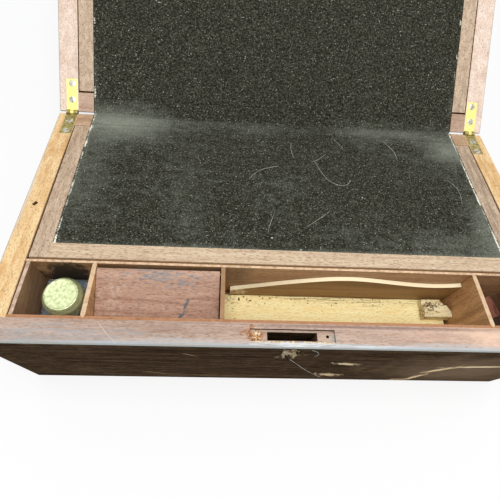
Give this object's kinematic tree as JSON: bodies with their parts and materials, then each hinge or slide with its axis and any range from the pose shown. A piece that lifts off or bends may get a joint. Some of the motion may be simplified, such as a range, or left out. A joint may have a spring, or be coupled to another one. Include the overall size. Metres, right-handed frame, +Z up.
{
  "type": "writing slope",
  "caption": "Wedge-shaped wooden writing box whose hinged lid opens to a velvet slope over paper stores, with an inkwell, pen tray and small rooms along its lock side.",
  "frame": {"origin": "centre of the base's underside", "axes": "+Z up; +X to the right as seen from the lock side; +Y from the lock side to the hinge side, the way the open lid reaches"},
  "size_m": [0.4, 0.4319, 0.2045],
  "materials": {
    "mahogany": "old polish outside, bare and worn on the rims",
    "thin_mahogany": "planed, unpolished",
    "border_veneer": "worn satin veneer",
    "pine": "planed, unpolished",
    "pale_wood": "planed, unpolished, dusty",
    "velvet": "short pile, worn and dusty",
    "brass": "aged, dull",
    "steel": "dull",
    "glass": "clear, pressed",
    "leather": "dull"
  },
  "bodies": {
    "base": {"base_bottom_board": "pine", "base_lock_side_wall": "mahogany", "base_hinge_side_wall": "mahogany", "base_left_side": "mahogany", "base_right_side": "mahogany", "well_partition": "mahogany", "well_front_liner": "thin_mahogany", "well_left_liner": "thin_mahogany", "well_right_liner": "thin_mahogany", "well_floor": "pine", "left_divider": "thin_mahogany", "middle_divider": "thin_mahogany", "right_divider": "thin_mahogany", "pen_tray_ledges": "pine", "compartment_lid_stop": "pine", "right_room_block": "pine", "base_flap_ledges": "pine", "base_rail_velvet": "velvet", "base_hinge_screws": "steel", "left_hinge_base_leaf": "brass", "left_hinge_pin": "brass", "right_hinge_base_leaf": "brass", "right_hinge_pin": "brass"},
    "lid": {"lid_top_board": "mahogany", "lid_lock_side_wall": "mahogany", "lid_hinge_side_wall": "mahogany", "lid_left_side": "mahogany", "lid_right_side": "mahogany", "lid_flap_ledges": "pine", "lid_rail_velvet": "velvet", "lid_hinge_screws": "steel", "lock_link_plate": "brass", "lock_link_plate_screws": "steel", "locating_peg": "mahogany", "flap_catch_screw": "steel", "left_hinge_lid_leaf": "brass", "right_hinge_lid_leaf": "brass"},
    "base_flap": {"base_flap_panel": "pine", "base_flap_left_border": "border_veneer", "base_flap_right_border": "border_veneer", "base_flap_front_border": "border_veneer", "base_flap_velvet": "velvet"},
    "lid_flap": {"lid_flap_panel": "pine", "lid_flap_left_border": "border_veneer", "lid_flap_right_border": "border_veneer", "lid_flap_front_border": "border_veneer", "lid_flap_velvet": "velvet"},
    "flap_catch": {"flap_catch": "brass"},
    "compartment_lid": {"compartment_lid": "thin_mahogany", "compartment_lid_pins": "brass"},
    "pen_tray": {"pen_tray": "pale_wood", "pen_tray_end_block": "pale_wood"},
    "pen_slip": {"pen_slip": "pale_wood"},
    "inkwell": {"inkwell_bottle": "glass", "inkwell_collar": "brass"},
    "inkwell_cap": {"inkwell_cap": "brass", "inkwell_washer": "leather"},
    "loose_block": {"loose_block": "thin_mahogany"}
  },
  "joints": [
    {"name": "lid_hinge", "type": "hinge", "parent": "base", "child": "lid", "pos_m": [0, 0.1115, 0.07525], "axis": [-1, 0, 0], "range_deg": [-134.7, 45.3]},
    {"name": "base_flap_hinge", "type": "hinge", "parent": "base", "child": "base_flap", "pos_m": [0, 0.09361, 0.07845], "axis": [-1, 0, 0], "range_deg": [0, 90]},
    {"name": "lid_flap_hinge", "type": "hinge", "parent": "lid", "child": "lid_flap", "pos_m": [0, 0.12776, 0.08584], "axis": [1, 0, 0], "range_deg": [0, 90]},
    {"name": "flap_catch_turn", "type": "hinge", "parent": "lid", "child": "flap_catch", "pos_m": [0.06, 0.28845, 0.19459], "axis": [0, 0.5605, -0.8282], "range_deg": [0, 90]},
    {"name": "compartment_lid_pivot", "type": "hinge", "parent": "base", "child": "compartment_lid", "pos_m": [0, -0.0565, 0.1052], "axis": [-1, 0, 0], "range_deg": [0, 115]},
    {"name": "pen_tray_lift", "type": "slide", "parent": "base", "child": "pen_tray", "axis": [0, 0, 1], "range_m": [0, 0.09]},
    {"name": "pen_slip_lift", "type": "slide", "parent": "base", "child": "pen_slip", "axis": [0, 0, 1], "range_m": [0, 0.07]},
    {"name": "inkwell_lift", "type": "slide", "parent": "base", "child": "inkwell", "axis": [0, 0, 1], "range_m": [0, 0.08]},
    {"name": "inkwell_cap_lift", "type": "slide", "parent": "inkwell", "child": "inkwell_cap", "axis": [0, 0, 1], "range_m": [0, 0.025]},
    {"name": "loose_block_lift", "type": "slide", "parent": "base", "child": "loose_block", "axis": [0, 0, 1], "range_m": [0, 0.07]}
  ]
}
